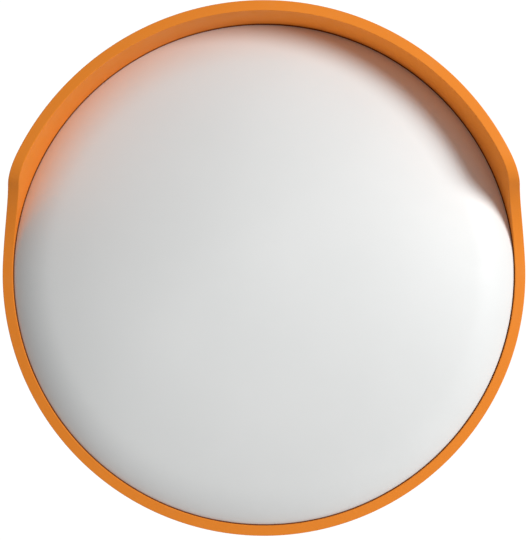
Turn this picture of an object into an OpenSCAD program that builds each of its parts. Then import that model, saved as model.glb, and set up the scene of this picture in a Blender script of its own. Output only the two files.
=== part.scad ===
// Traffic convex mirror: a round convex mirror in a rim with an integral hood, a ribbed back shell,
// and a steel bracket that tilts and pans the head on a pole clamp.
// The pole's axis is Z and the mirror faces -Y. All sizes are in millimetres.

/* [Mirror] */
// Diameter of the mirror that shows inside the rim
sight_d = 600; // [560:10:640]
// Radius of the mirror's convex curve over its middle
mirror_curve_r = 1500; // [1200:50:2000]
// Radius at which the mirror starts to roll over towards its edge
mirror_roll_start = 250; // [235:5:260]
// How steeply the mirror's face slopes at its edge, in degrees
mirror_edge_slope = 38; // [30:1:40]
// Thickness of the mirror dish
mirror_t = 3; // [2:0.5:4]

/* [Rim and hood] */
// Width of the rim's front face
rim_w = 12.4; // [11:0.2:14]
// Depth of the rim from its front face to the flange of the back shell
rim_depth = 30; // [26:1:36]
// Depth of the lip in front of the mirror's edge
lip_depth = 2; // [1.5:0.5:4]
// How far the hood stands out from the rim's front face
hood_depth = 66; // [40:1:90]
// Height above the mirror's centre where the hood starts to rise from the rim
hood_foot_z = 18; // [10:1:30]
// Radius of the sweep where the hood leaves the rim
hood_foot_r = 105; // [95:5:115]
// Radius of the hood's front corner
hood_corner_r = 40; // [30:5:50]
// How much wider the hood's inside gets towards its front edge, on the radius
hood_draft = 0.8; // [0:0.2:1.6]

/* [Back shell] */
// Wall thickness of the back shell
shell_t = 3.5; // [3:0.5:5]
// Radius of the shell's shallow dome
dome_r = 1500; // [1400:50:1800]
// Diameter of the flat boss that the bracket bolts to
boss_d = 210; // [200:5:230]
// Number of radial ribs
rib_count = 12; // [8:4:16]
// Height of the ribs above the dome
rib_h = 5; // [3:1:7]
// Number of screws that hold the rim to the shell
screw_count = 12; // [8:4:16]

/* [Bracket] */
// Distance from the pan axis to the tilt axis
pan_to_tilt = 38; // [38:1:44]
// Distance from the tilt axis to the bracket's base plate
tilt_to_plate = 32; // [32:1:38]
// Tilt each way that the lock slots allow, in degrees
tilt_travel = 20; // [10:1:20]
// Width across the knuckle between the two bracket ears
knuckle_w = 50; // [46:1:54]

/* [Pole clamp] */
// Diameter of the pole
pole_d = 76; // [72:1:80]
// Height of the clamp bands
clamp_h = 60; // [56:1:70]
// Thickness of the clamp bands
clamp_t = 5; // [4:0.5:6]
// Distance from the pole's axis to the pan axis
pole_to_pan = 73; // [73:1:80]

/* [Hidden] */
$fn = 96;

// Clearances: running fits of the pivots, faces that slide on each other, bolts in fixed holes
run_gap = 0.1;
slide_gap = 0.1;
bolt_gap = 0.4;
thread_gap = 0.05;
over = 1; // how far a cutting shape runs past what it cuts
round_fn = 256; // facets of the large circles when the part is viewed as a mesh
curve_fn = 720; // and of the shallow curves

// Rim, gasket and mirror, in the head's frame: z is 0 at the rim's front face and forwards is +z
sight_r = sight_d / 2;
rim_r = sight_r + rim_w;
seat_r = sight_r + 4.6; // inside of the rim's wall behind the lip
gasket_r = seat_r - 0.2;
gasket_bead = 1.2; // how far the gasket shows inside the lip
gasket_depth = 9;
mirror_edge_r = sight_r + 2.6;
mirror_clear = 0.05;
bead_t = 0.5; // thickness of the gasket's bead over the mirror
edge_round = 0.8;

bead_r = sight_r - gasket_bead;

// The mirror's section: a wide arc over the middle, then a tighter arc that rolls over to the edge
roll_from = asin(mirror_roll_start / mirror_curve_r);
roll_r = (sight_r - mirror_roll_start) / (sin(mirror_edge_slope) - sin(roll_from));
roll_x = mirror_roll_start - roll_r * sin(roll_from);
roll_z = -lip_depth - bead_t - sqrt(roll_r ^ 2 - (bead_r - roll_x) ^ 2);
mirror_centre_z = roll_z - (mirror_curve_r - roll_r) * cos(roll_from);
seat_z = -lip_depth - gasket_depth;

// Hood outline, seen from the side: two arcs that meet in a common tangent
hood_sweep = acos(1 - hood_depth / (hood_foot_r + hood_corner_r));
hood_join_z = hood_foot_z + hood_foot_r * sin(hood_sweep);
hood_top_z = hood_join_z + hood_corner_r * sin(hood_sweep);

// Back shell
flange_t = 4;
flange_z = -rim_depth - flange_t;
collar_r = sight_r - 2;
dome_centre_z = flange_z + sqrt(dome_r ^ 2 - sight_r ^ 2);
boss_z = dome_centre_z - dome_r - 0.7;
boss_t = 8; // reaches past the dome's inner face, so that the backing plate lies flat
rib_t = 4;
ring_rib_r = 200;
weep_r = 3;
weep_angle = 8;
weep_pitch_r = sight_r - 12;
screw_pitch_r = sight_r + 8;
screw_d = 4;
screw_l = 16;
screw_head_d = 8;
screw_head_h = 2.7;

// Bracket
plate_t = 5;
plate_w = 130;
plate_h = 150;
plate_bolt_x = 50;
plate_bolt_z = 62;
backing_w = 140;
backing_h = 152;
backing_t = 3;
ear_t = 6;
ear_in = knuckle_w / 2 + slide_gap + 0.1;
ear_out = ear_in + ear_t;
pivot_r = 18;
slot_r = 42;
fan_r = 55;
lock_d = 10;
slot_w = lock_d + 0.6;
slot_end = tilt_travel + 0.5;
fan_half = slot_end + 15.5;
web_top = 34; // height of the ear's root above the tilt axis

tilt_f = pole_to_pan + pan_to_tilt;
boss_f = tilt_f + tilt_to_plate + plate_t;
face_f = boss_f - boss_z; // the rim's front face, forward of the pole's axis

pivot_d = 12;
barrel_r = 17;
lock_barrel_r = 11;
pan_barrel_r = 18;
pan_barrel_h = 36;

// Pole clamp
pole_r = pole_d / 2;
band_r = pole_r + clamp_t;
clamp_gap = 8;
ear_x = 80;
clamp_bolt_x = 62;
clamp_bolt_z = 16;
bend_r = 6;
lug_t = 6;
lug_z = pan_barrel_h / 2 + slide_gap;
fork_t = 6;
clamp_bolt_l = 41;
clamp_face = clamp_gap / 2 + clamp_t; // the ear's outer face, from the pole's axis

// Fastener sizes by thread diameter: across flats, head height, nut height, washer diameter and thickness,
// spring washer diameter and thickness, thread pitch
function flats(d) = d == 8 ? 13 : d == 10 ? 16 : 18;
function head_h(d) = d == 8 ? 5.3 : d == 10 ? 6.4 : 7.5;
function nut_h(d) = d == 8 ? 6.8 : d == 10 ? 8.4 : 10.8;
function washer_d(d) = 2 * d;
function washer_t(d) = d == 8 ? 1.6 : d == 10 ? 2 : 2.5;
function spring_d(d) = d == 8 ? 14.8 : d == 10 ? 18.1 : 21.1;
function spring_t(d) = d == 8 ? 2 : d == 10 ? 2.2 : 2.5;
function pitch(d) = d == 8 ? 1.25 : d == 10 ? 1.5 : 1.75;

// Placing

// The head's own frame: x across, y up, z forwards, with its origin at the centre of the rim's front face
module in_head() {
    translate([0, -face_f, 0]) rotate([90, 0, 0]) children();
}

// The same directions, with the origin on the tilt axis
module in_tilt() {
    translate([0, -tilt_f, 0]) rotate([90, 0, 0]) children();
}

// A flat outline drawn as (up, forward), as a plate of thickness t centred on x = 0
module side_plate(t) {
    rotate([90, 0, 90]) linear_extrude(t, center = true) children();
}

// Puts +z of a part along +x, with its origin at x on the axis at height up
module along_x(x, up = 0) {
    translate([x, up, 0]) rotate([0, 90, 0]) children();
}

module at_plate_bolts() {
    for (x = [-1, 1], y = [-1, 1]) translate([x * plate_bolt_x, y * plate_bolt_z, 0]) children();
}

module at_clamp_bolts() {
    for (x = [-1, 1], z = [-1, 1])
        translate([x * clamp_bolt_x, 0, z * clamp_bolt_z]) rotate([-90, 0, 0]) children();
}

module at_rim_screws() {
    for (i = [0 : screw_count - 1])
        rotate((i + 0.5) * 360 / screw_count) translate([screw_pitch_r, 0, 0]) children();
}

// Shared shapes

module rounded_rect(w, h, r) {
    square([w - 2 * r, h], center = true);
    square([w, h - 2 * r], center = true);
    for (x = [-1, 1], y = [-1, 1]) translate([x * (w / 2 - r), y * (h / 2 - r)]) circle(r);
}

// Hexagon with both end corners turned down
module hexagon(af, h) {
    corner_r = af / sqrt(3);
    turn = (corner_r - af / 2) * 0.6;
    intersection() {
        cylinder(r = corner_r, h = h, $fn = 6);
        rotate_extrude()
            polygon([[0, 0], [af / 2, 0], [corner_r, turn], [corner_r, h - turn], [af / 2, h], [0, h]]);
    }
}

// Ridged end of a bolt, up to its chamfered tip at z = l
module thread(d, from, l) {
    p = pitch(d);
    turns = floor((l - from) / p) - 1;
    root = d / 2 - 0.55 * p;
    rotate_extrude()
        polygon(concat(
            [[0, from]],
            [for (i = [0 : turns - 1]) each [[d / 2, from + i * p], [root, from + (i + 0.5) * p]]],
            [[d / 2, from + turns * p], [root, l], [0, l]]
        ));
}

// Bolt along +z, with its head below z = 0 and the last part of its shank ridged
module hex_bolt(d, l, threaded) {
    translate([0, 0, -head_h(d)]) hexagon(flats(d), head_h(d));
    cylinder(d = d, h = l - threaded);
    thread(d, l - threaded, l);
}

module hex_nut(d) {
    difference() {
        hexagon(flats(d), nut_h(d));
        translate([0, 0, -over]) cylinder(d = d + 2 * thread_gap, h = nut_h(d) + 2 * over);
    }
}

module washer(d) {
    difference() {
        cylinder(d = washer_d(d), h = washer_t(d));
        translate([0, 0, -over]) cylinder(d = d + bolt_gap, h = washer_t(d) + 2 * over);
    }
}

// Split ring, with a slanted cut
module spring_washer(d) {
    difference() {
        cylinder(d = spring_d(d), h = spring_t(d));
        translate([0, 0, -over]) cylinder(d = d + bolt_gap, h = spring_t(d) + 2 * over);
        translate([spring_d(d) / 2, 0, spring_t(d) / 2]) rotate([30, 0, 0])
            cube([spring_d(d), 1, 4 * spring_t(d)], center = true);
    }
}

// Mirror head

// Layer of a shallow ball-shaped curve, out to radius r, with the curve's centre on the axis
module curved_layer(centre_z, outer_r, inner_r, r, low_z) {
    rotate_extrude($fn = round_fn) intersection() {
        translate([0, centre_z]) difference() {
            circle(outer_r, $fn = curve_fn);
            circle(inner_r, $fn = curve_fn);
        }
        translate([0, low_z]) square([r, sight_r]);
    }
}

// Section of a layer under an arc, between two angles from the vertical
module arc_layer(x, z, outer_r, inner_r, from, to) {
    reach = 2 * outer_r;
    translate([x, z]) intersection() {
        difference() {
            circle(outer_r, $fn = curve_fn);
            circle(inner_r, $fn = curve_fn);
        }
        polygon([[0, 0], reach * [sin(from), cos(from)], reach * [sin(to), cos(to)]]);
    }
}

module mirror_body(grow) {
    inner = mirror_t + grow;
    rotate_extrude($fn = round_fn) intersection() {
        union() {
            arc_layer(0, mirror_centre_z, mirror_curve_r + grow, mirror_curve_r - inner, 0, roll_from);
            arc_layer(roll_x, roll_z, roll_r + grow, roll_r - inner, roll_from, 2 * mirror_edge_slope);
        }
        translate([0, -sight_r / 2]) square([mirror_edge_r + grow, sight_r]);
    }
}

module mirror_dish() {
    color("gainsboro") in_head() mirror_body(0);
}

// Channel round the mirror's edge, with a bead that shows inside the lip
module edge_gasket() {
    color("black") in_head() difference() {
        translate([0, 0, seat_z]) difference() {
            cylinder(r = gasket_r, h = gasket_depth, $fn = round_fn);
            translate([0, 0, -over]) cylinder(r = bead_r, h = gasket_depth + 2 * over, $fn = round_fn);
        }
        mirror_body(mirror_clear);
    }
}

// Region under the hood's front edge, drawn as (up, forward)
module hood_outline() {
    join_f = hood_foot_r * (1 - cos(hood_sweep));
    translate([hood_top_z, -over]) square([sight_r, hood_depth + over]);
    difference() {
        translate([hood_foot_z, -over]) square([hood_join_z - hood_foot_z, join_f + over]);
        translate([hood_foot_z, hood_foot_r]) circle(hood_foot_r, $fn = round_fn);
    }
    translate([hood_join_z - 0.01, -over]) square([hood_top_z - hood_join_z + 0.02, join_f + over]);
    intersection() {
        translate([hood_top_z, hood_depth - hood_corner_r]) circle(hood_corner_r, $fn = round_fn);
        translate([hood_join_z, join_f - 0.01]) square([hood_top_z - hood_join_z + 0.01, hood_depth]);
    }
}

// Rim that traps the mirror's edge, moulded in one with the hood over its upper half
module hood_rim() {
    color("darkorange") in_head() difference() {
        union() {
            rotate_extrude($fn = round_fn)
                polygon([
                    [sight_r, -edge_round / 2], [sight_r + edge_round / 2, 0],
                    [rim_r - edge_round, 0], [rim_r, -edge_round],
                    [rim_r, -rim_depth], [seat_r, -rim_depth],
                    [seat_r, -lip_depth], [sight_r, -lip_depth]
                ]);
            intersection() {
                rotate_extrude($fn = round_fn)
                    polygon([
                        [sight_r, -lip_depth], [sight_r, 0], [sight_r + hood_draft, hood_depth],
                        [rim_r, hood_depth], [rim_r, -lip_depth]
                    ]);
                side_plate(2 * rim_r + over) hood_outline();
            }
        }
        at_rim_screws() translate([0, 0, -rim_depth - over])
            cylinder(d = screw_d + 2 * thread_gap, h = screw_l - flange_t + 2 * over, $fn = 24);
    }
}

module dome_layer(low, high, r) {
    curved_layer(dome_centre_z, dome_r + high, dome_r + low, r, boss_z - 2 * rib_h);
}

// Moulded dish behind the mirror, with a flat boss, radial ribs and a ring rib outside
module back_shell() {
    rib_start = boss_d / 2 - 8;
    rib_l = sight_r - 4 - rib_start;
    color("darkorange") in_head() difference() {
        union() {
            difference() {
                translate([0, 0, flange_z]) cylinder(r = rim_r, h = flange_t, $fn = round_fn);
                translate([0, 0, flange_z - over])
                    cylinder(r = collar_r, h = flange_t + 2 * over, $fn = round_fn);
            }
            difference() {
                translate([0, 0, flange_z]) cylinder(r = gasket_r, h = seat_z - flange_z, $fn = round_fn);
                translate([0, 0, flange_z - over])
                    cylinder(r = collar_r, h = seat_z - flange_z + 2 * over, $fn = round_fn);
            }
            dome_layer(-shell_t, 0, collar_r + over);
            intersection() {
                dome_layer(-shell_t / 2, rib_h, sight_r);
                union() {
                    for (i = [0 : rib_count - 1]) rotate(i * 360 / rib_count)
                        translate([rib_start, -rib_t / 2, boss_z - rib_h]) cube([rib_l, rib_t, -boss_z]);
                    translate([0, 0, boss_z - rib_h]) difference() {
                        cylinder(r = ring_rib_r + rib_t / 2, h = -boss_z);
                        translate([0, 0, -over]) cylinder(r = ring_rib_r - rib_t / 2, h = 2 * over - boss_z);
                    }
                }
                // tapers the ribs down to the flange
                rotate_extrude() polygon([
                    [0, boss_z - rib_h], [sight_r - 22, boss_z - rib_h],
                    [sight_r - 4, flange_z - 0.5], [sight_r - 4, 0], [0, 0]
                ]);
            }
            translate([0, 0, boss_z]) cylinder(d = boss_d, h = boss_t);
        }
        at_plate_bolts() translate([0, 0, boss_z - over])
            cylinder(d = 8 + bolt_gap, h = boss_t + 2 * over, $fn = 32);
        at_rim_screws() translate([0, 0, flange_z - over])
            cylinder(d = screw_d + bolt_gap, h = flange_t + 2 * over, $fn = 24);
        for (side = [-1, 1]) rotate(-90 + side * weep_angle)
            translate([weep_pitch_r, 0, boss_z]) cylinder(r = weep_r, h = -boss_z, $fn = 32);
    }
}

// Pan-head screws with a cross recess, from behind the flange into the rim
module rim_screws() {
    color("silver") in_head() at_rim_screws() translate([0, 0, flange_z]) difference() {
        union() {
            cylinder(d = screw_d, h = screw_l, $fn = 24);
            translate([0, 0, -screw_head_h])
                cylinder(d1 = screw_head_d - 2, d2 = screw_head_d, h = 1, $fn = 32);
            translate([0, 0, 1 - screw_head_h]) cylinder(d = screw_head_d, h = screw_head_h - 1, $fn = 32);
        }
        for (turn = [0, 90]) rotate(turn)
            translate([0, 0, -screw_head_h]) cube([screw_head_d * 0.55, 0.9, 2.4], center = true);
    }
}

// Steel plate inside the shell, which spreads the load of the bracket's bolts
module backing_plate() {
    color("silver") in_head() translate([0, 0, boss_z + boss_t]) difference() {
        linear_extrude(backing_t) rounded_rect(backing_w, backing_h, 12);
        at_plate_bolts() translate([0, 0, -over])
            cylinder(d = 8 + bolt_gap, h = backing_t + 2 * over, $fn = 32);
    }
}

module plate_bolts() {
    color("silver") in_head() at_plate_bolts()
        translate([0, 0, boss_z + boss_t + backing_t]) rotate([180, 0, 0]) hex_bolt(8, 30, 14);
}

// What stands on the base plate's back face, starting at height from
module on_plate(from) {
    in_tilt() at_plate_bolts() translate([0, 0, tilt_to_plate - from]) rotate([180, 0, 0]) children();
}

module plate_washers() {
    color("silver") on_plate(0) washer(8);
}

module plate_spring_washers() {
    color("silver") on_plate(washer_t(8)) spring_washer(8);
}

module plate_nuts() {
    color("silver") on_plate(washer_t(8) + spring_t(8)) hex_nut(8);
}

// Bracket

// Circular slot for the lock bolt, below the tilt axis
module lock_slot() {
    intersection() {
        difference() {
            circle(slot_r + slot_w / 2);
            circle(slot_r - slot_w / 2);
        }
        polygon([[0, 0], [-fan_r, -fan_r * tan(slot_end)], [-fan_r, fan_r * tan(slot_end)]]);
    }
    for (end = [-1, 1]) rotate(180 + end * slot_end) translate([slot_r, 0]) circle(slot_w / 2);
}

// Ear of the tilt bracket, drawn as (up, forward) from the tilt axis
module ear_outline() {
    root = [web_top, tilt_to_plate + over / 2];
    touch = atan2(root.y, root.x) - acos(pivot_r / norm(root));
    difference() {
        union() {
            circle(pivot_r);
            intersection() {
                circle(fan_r);
                polygon([
                    [0, 0], [-2 * fan_r, -2 * fan_r * tan(fan_half)],
                    [-2 * fan_r, root.y], [0, root.y]
                ]);
            }
            polygon([root, pivot_r * [cos(touch), sin(touch)], [0, 0], [-fan_r - 4, root.y]]);
        }
        circle(pivot_d / 2 + run_gap);
        lock_slot();
        translate([-2 * fan_r, tilt_to_plate + 1]) square([4 * fan_r, fan_r]);
    }
}

// Base plate with two welded ears; the lock slots set how far the head tilts
module tilt_bracket() {
    color("silver") in_tilt() {
        difference() {
            translate([0, 0, tilt_to_plate]) linear_extrude(plate_t) rounded_rect(plate_w, plate_h, 10);
            at_plate_bolts() translate([0, 0, tilt_to_plate - over])
                cylinder(d = 8 + 2 * bolt_gap, h = plate_t + 2 * over, $fn = 32);
        }
        for (side = [-1, 1]) translate([side * (ear_in + ear_t / 2), 0, 0]) side_plate(ear_t) ear_outline();
    }
}

// Casting that turns on the pan bolt and carries the tilt bolt and the lock bolt
module knuckle() {
    color("gray") in_tilt() difference() {
        union() {
            along_x(-knuckle_w / 2) cylinder(r = barrel_r, h = knuckle_w);
            along_x(-knuckle_w / 2, -slot_r) cylinder(r = lock_barrel_r, h = knuckle_w);
            translate([0, 0, -pan_to_tilt]) rotate([90, 0, 0])
                cylinder(r = pan_barrel_r, h = pan_barrel_h, center = true);
            translate([-12, -11, -pan_to_tilt]) cube([24, 22, pan_to_tilt]);
            translate([-9, -slot_r, -8]) cube([18, slot_r, 16]);
            side_plate(10) polygon([[-8, -15], [-8, 6], [-slot_r, 6], [-slot_r, -8]]);
        }
        along_x(-knuckle_w) cylinder(r = pivot_d / 2 + run_gap, h = 2 * knuckle_w);
        along_x(-knuckle_w, -slot_r) cylinder(r = lock_d / 2 + run_gap, h = 2 * knuckle_w);
        translate([0, 0, -pan_to_tilt]) rotate([90, 0, 0])
            cylinder(r = pivot_d / 2 + run_gap, h = pan_barrel_h + 2 * over, center = true);
    }
}

// A bolt along x through both ears, with its head on the +x side
module cross_bolt(d, up) {
    head_x = ear_out + slide_gap + washer_t(d);
    nut_end = head_x + spring_t(d) + nut_h(d) + 4;
    in_tilt() along_x(head_x, up) rotate([180, 0, 0]) hex_bolt(d, head_x + nut_end, 26);
}

module cross_washers(d, up) {
    for (side = [-1, 1]) in_tilt() along_x(side * (ear_out + slide_gap + washer_t(d) / 2), up)
        translate([0, 0, -washer_t(d) / 2]) washer(d);
}

module cross_spring_washer(d, up) {
    in_tilt() along_x(-ear_out - slide_gap - washer_t(d) - spring_t(d), up) spring_washer(d);
}

module cross_nut(d, up) {
    in_tilt() along_x(-ear_out - slide_gap - washer_t(d) - spring_t(d) - nut_h(d), up) hex_nut(d);
}

module tilt_bolt() {
    color("silver") cross_bolt(pivot_d, 0);
}

module tilt_washers() {
    color("silver") cross_washers(pivot_d, 0);
}

module tilt_spring_washer() {
    color("silver") cross_spring_washer(pivot_d, 0);
}

module tilt_nut() {
    color("silver") cross_nut(pivot_d, 0);
}

module lock_bolt() {
    color("silver") cross_bolt(lock_d, -slot_r);
}

module lock_washers() {
    color("silver") cross_washers(lock_d, -slot_r);
}

module lock_spring_washer() {
    color("silver") cross_spring_washer(lock_d, -slot_r);
}

module lock_nut() {
    color("silver") cross_nut(lock_d, -slot_r);
}

// Pole clamp

// Plan of a half clamp on the -y side of the pole: band, two ears and the bends between them
module clamp_plan() {
    bend_y = -clamp_face - bend_r;
    bend_x = sqrt((band_r + bend_r) ^ 2 - bend_y ^ 2);
    difference() {
        union() {
            intersection() {
                circle(band_r);
                translate([-band_r, -band_r]) square([2 * band_r, band_r - clamp_gap / 2]);
            }
            for (side = [-1, 1]) scale([side, 1]) {
                translate([pole_r + 1, -clamp_face]) square([ear_x - pole_r - 1, clamp_t]);
                difference() {
                    polygon([
                        [bend_x, bend_y] * band_r / (band_r + bend_r), [bend_x, bend_y],
                        [bend_x, -clamp_face + 1], [pole_r + 2, -clamp_face + 1]
                    ]);
                    translate([bend_x, bend_y]) circle(bend_r);
                }
            }
        }
        circle(pole_r);
    }
}

module clamp_half() {
    difference() {
        intersection() {
            linear_extrude(clamp_h, center = true) clamp_plan();
            rotate([90, 0, 0]) linear_extrude(4 * band_r, center = true)
                rounded_rect(2 * ear_x, clamp_h, 8);
        }
        at_clamp_bolts() cylinder(d = 8 + 2 * bolt_gap, h = 4 * clamp_face, center = true, $fn = 32);
    }
}

// Front half of the clamp, with the welded fork that holds the knuckle
module clamp_front() {
    color("silver") difference() {
        union() {
            clamp_half();
            for (low = [lug_z, -lug_z - lug_t]) translate([0, 0, low]) linear_extrude(lug_t) {
                translate([0, -pole_to_pan]) circle(pan_barrel_r);
                translate([-pan_barrel_r, -pole_to_pan])
                    square([2 * pan_barrel_r, pole_to_pan - pole_r + 2]);
            }
            translate([-pan_barrel_r, -band_r - fork_t, -lug_z - over / 2])
                cube([2 * pan_barrel_r, fork_t + clamp_t / 2, 2 * lug_z + over]);
        }
        cylinder(r = pole_r, h = clamp_h + 2 * over, center = true);
        translate([0, -pole_to_pan, 0]) cylinder(r = pivot_d / 2 + run_gap, h = clamp_h, center = true);
    }
}

module clamp_rear() {
    color("silver") mirror([0, 1, 0]) clamp_half();
}

// What stands on an ear of the clamp, from its outer face: heads on the front half, nuts on the rear half
module on_front_ears(from) {
    at_clamp_bolts() translate([0, 0, -clamp_face - from]) children();
}

module on_rear_ears(from) {
    at_clamp_bolts() translate([0, 0, clamp_face + from]) children();
}

module clamp_head_washers() {
    color("silver") on_front_ears(washer_t(8)) washer(8);
}

module clamp_bolts() {
    color("silver") on_front_ears(washer_t(8)) hex_bolt(8, clamp_bolt_l, 24);
}

module clamp_washers() {
    color("silver") on_rear_ears(0) washer(8);
}

module clamp_spring_washers() {
    color("silver") on_rear_ears(washer_t(8)) spring_washer(8);
}

module clamp_nuts() {
    color("silver") on_rear_ears(washer_t(8) + spring_t(8)) hex_nut(8);
}

// Puts z = 0 on the pan axis, at the outer face of the fork's upper or lower lug
module on_fork(side, from = 0) {
    translate([0, -pole_to_pan, side * (lug_z + lug_t + from)]) children();
}

module pan_bolt() {
    grip = 2 * (lug_z + lug_t + washer_t(pivot_d));
    color("silver") on_fork(1, washer_t(pivot_d)) rotate([180, 0, 0])
        hex_bolt(pivot_d, grip + spring_t(pivot_d) + nut_h(pivot_d) + 4, 24);
}

module pan_washers() {
    color("silver") {
        on_fork(1) washer(pivot_d);
        on_fork(-1, washer_t(pivot_d)) washer(pivot_d);
    }
}

module pan_spring_washer() {
    color("silver") on_fork(-1, washer_t(pivot_d) + spring_t(pivot_d)) spring_washer(pivot_d);
}

module pan_nut() {
    color("silver") on_fork(-1, washer_t(pivot_d) + spring_t(pivot_d) + nut_h(pivot_d)) hex_nut(pivot_d);
}

mirror_dish();
edge_gasket();
hood_rim();
back_shell();
rim_screws();
backing_plate();
tilt_bracket();
plate_bolts();
plate_washers();
plate_spring_washers();
plate_nuts();
knuckle();
tilt_bolt();
tilt_washers();
tilt_spring_washer();
tilt_nut();
lock_bolt();
lock_washers();
lock_spring_washer();
lock_nut();
clamp_front();
pan_bolt();
pan_washers();
pan_spring_washer();
pan_nut();
clamp_bolts();
clamp_head_washers();
clamp_rear();
clamp_washers();
clamp_spring_washers();
clamp_nuts();
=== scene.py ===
"""Looks for a traffic convex mirror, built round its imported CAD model.

The mirror faces -Y, +Z is up and the pole's axis is Z through the origin. Lengths are in metres.
"""

import math

import bmesh
import bpy
import numpy as np
from mathutils import Matrix, Vector


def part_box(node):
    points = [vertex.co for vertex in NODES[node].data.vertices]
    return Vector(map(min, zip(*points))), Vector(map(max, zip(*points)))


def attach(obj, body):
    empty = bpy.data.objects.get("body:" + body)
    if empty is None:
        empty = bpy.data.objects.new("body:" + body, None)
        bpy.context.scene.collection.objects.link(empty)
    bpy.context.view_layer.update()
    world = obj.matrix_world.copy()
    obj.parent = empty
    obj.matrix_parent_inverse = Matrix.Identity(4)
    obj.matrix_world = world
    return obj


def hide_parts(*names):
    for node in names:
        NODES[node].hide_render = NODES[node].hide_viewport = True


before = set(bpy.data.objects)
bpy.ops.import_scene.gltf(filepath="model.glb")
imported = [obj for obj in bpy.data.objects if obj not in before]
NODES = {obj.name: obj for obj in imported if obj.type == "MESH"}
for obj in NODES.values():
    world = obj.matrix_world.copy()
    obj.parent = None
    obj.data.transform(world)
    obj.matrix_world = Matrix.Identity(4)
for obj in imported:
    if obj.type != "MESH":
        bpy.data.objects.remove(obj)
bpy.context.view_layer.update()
MM = 0.001

# ---------------------------------------------------------------- sizes that the CAD parts share

# Head: radii from its axis, and distances forward of the plane of the rim's front face
RIM_DEPTH = 30 * MM
HOOD_LOW, HOOD_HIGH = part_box("hood_rim")
RIM_R = HOOD_HIGH.x
FACE_Y = HOOD_HIGH.y - RIM_DEPTH
HOOD_DEPTH = FACE_Y - HOOD_LOW.y
SIGHT_R = 300 * MM
SEAT_R = 304.6 * MM
LIP_DEPTH = 2 * MM
HOOD_FOOT_Z = 18 * MM
HOOD_FOOT_R = 105 * MM
HOOD_CORNER_R = 40 * MM
HOOD_DRAFT = 0.8 * MM

MIRROR_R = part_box("mirror_dish")[1].x
MIRROR_T = 3 * MM
MIRROR_CURVE_R = 1500 * MM
ROLL_START = 250 * MM
EDGE_SLOPE = math.radians(38)
GASKET_R = 304.4 * MM
BEAD_R = 298.8 * MM
BEAD_T = 0.5 * MM
SEAT_Z = -11 * MM

FLANGE_Z = -34 * MM
COLLAR_R = 298 * MM
DOME_R = 1500 * MM
SHELL_T = 3.5 * MM
BOSS_R = 105 * MM
BOSS_T = 8 * MM
BOSS_Z = FACE_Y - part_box("tilt_bracket")[0].y
RIB_COUNT = 12
RIB_H = 5 * MM
RIB_START, RIB_END = 97 * MM, 296 * MM
RING_RIB_R = 200 * MM
DRAIN_R, DRAIN_PITCH_R, DRAIN_ANGLE = 3 * MM, 288 * MM, math.radians(8)

# Fasteners by thread diameter in mm: across flats, height of a bolt's head, thread pitch
FLATS = {8: 13 * MM, 10: 16 * MM, 12: 18 * MM}
HEAD_H = {8: 5.3 * MM, 10: 6.4 * MM, 12: 7.5 * MM}
PITCH = {8: 1.25 * MM, 10: 1.5 * MM, 12: 1.75 * MM}
HOLE_PLAY = 0.4 * MM  # a washer's hole is this much wider than its bolt

SMOOTH_DEG = 35  # edges sharper than this stay sharp when a mesh is shaded smooth
WELD_DIST = 0.001 * MM  # vertices closer than this become one


# ---------------------------------------------------------------- mesh tools

def link_mesh(name, mesh, sharp_deg, merge=False):
    """Object with outward normals and smooth shading, apart from edges sharper than an angle.

    merge makes one vertex of those that coincide, and so drops faces with no area.
    """
    bm = bmesh.new()
    bm.from_mesh(mesh)
    if merge:
        bmesh.ops.remove_doubles(bm, verts=bm.verts, dist=WELD_DIST)
    bmesh.ops.recalc_face_normals(bm, faces=bm.faces)
    bm.to_mesh(mesh)
    bm.free()
    mesh.shade_smooth()
    mesh.set_sharp_from_angle(angle=math.radians(sharp_deg))
    obj = bpy.data.objects.new(name, mesh)
    bpy.context.scene.collection.objects.link(obj)
    return obj


def add_object(name, verts, faces, sharp_deg=SMOOTH_DEG):
    """Object from points and from faces that index them."""
    mesh = bpy.data.meshes.new(name)
    mesh.from_pydata([tuple(v) for v in verts], [], faces)
    return link_mesh(name, mesh, sharp_deg, merge=True)


def apply_modifiers(obj):
    """Gives the object the mesh that its modifiers make."""
    bpy.context.view_layer.update()
    evaluated = obj.evaluated_get(bpy.context.evaluated_depsgraph_get())
    obj.data = bpy.data.meshes.new_from_object(evaluated)
    obj.modifiers.clear()


def even_shading(obj):
    """Normals weighted by face area, so that broad faces stay flat up to their rounded edges."""
    modifier = obj.modifiers.new("even", "WEIGHTED_NORMAL")
    modifier.keep_sharp = True
    modifier.weight = 80
    apply_modifiers(obj)
    return obj


def join(name, objects):
    """One object from several, whose meshes stay separate solids."""
    bm = bmesh.new()
    for obj in objects:
        mesh = obj.data.copy()
        mesh.transform(obj.matrix_world)
        bm.from_mesh(mesh)
        bpy.data.meshes.remove(mesh)
    mesh = bpy.data.meshes.new(name)
    bm.to_mesh(mesh)
    bm.free()
    for obj in objects:
        bpy.data.objects.remove(obj)
    return link_mesh(name, mesh, SMOOTH_DEG)


def cut(obj, cutters):
    """Takes the cutters out of obj."""
    cutter = join("cutter", cutters)
    modifier = obj.modifiers.new("cut", "BOOLEAN")
    modifier.operation = "DIFFERENCE"
    modifier.solver = "EXACT"
    modifier.object = cutter
    apply_modifiers(obj)
    bpy.data.objects.remove(cutter)
    return obj


def turned(r, angle, z):
    """Point of a part turned about its own Z axis."""
    return (r * math.cos(angle), r * math.sin(angle), z)


def head_point(r, angle, forward):
    """Point at radius r, at an angle clockwise from the top as seen from the front."""
    return (r * math.sin(angle), FACE_Y - forward, r * math.cos(angle))


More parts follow.
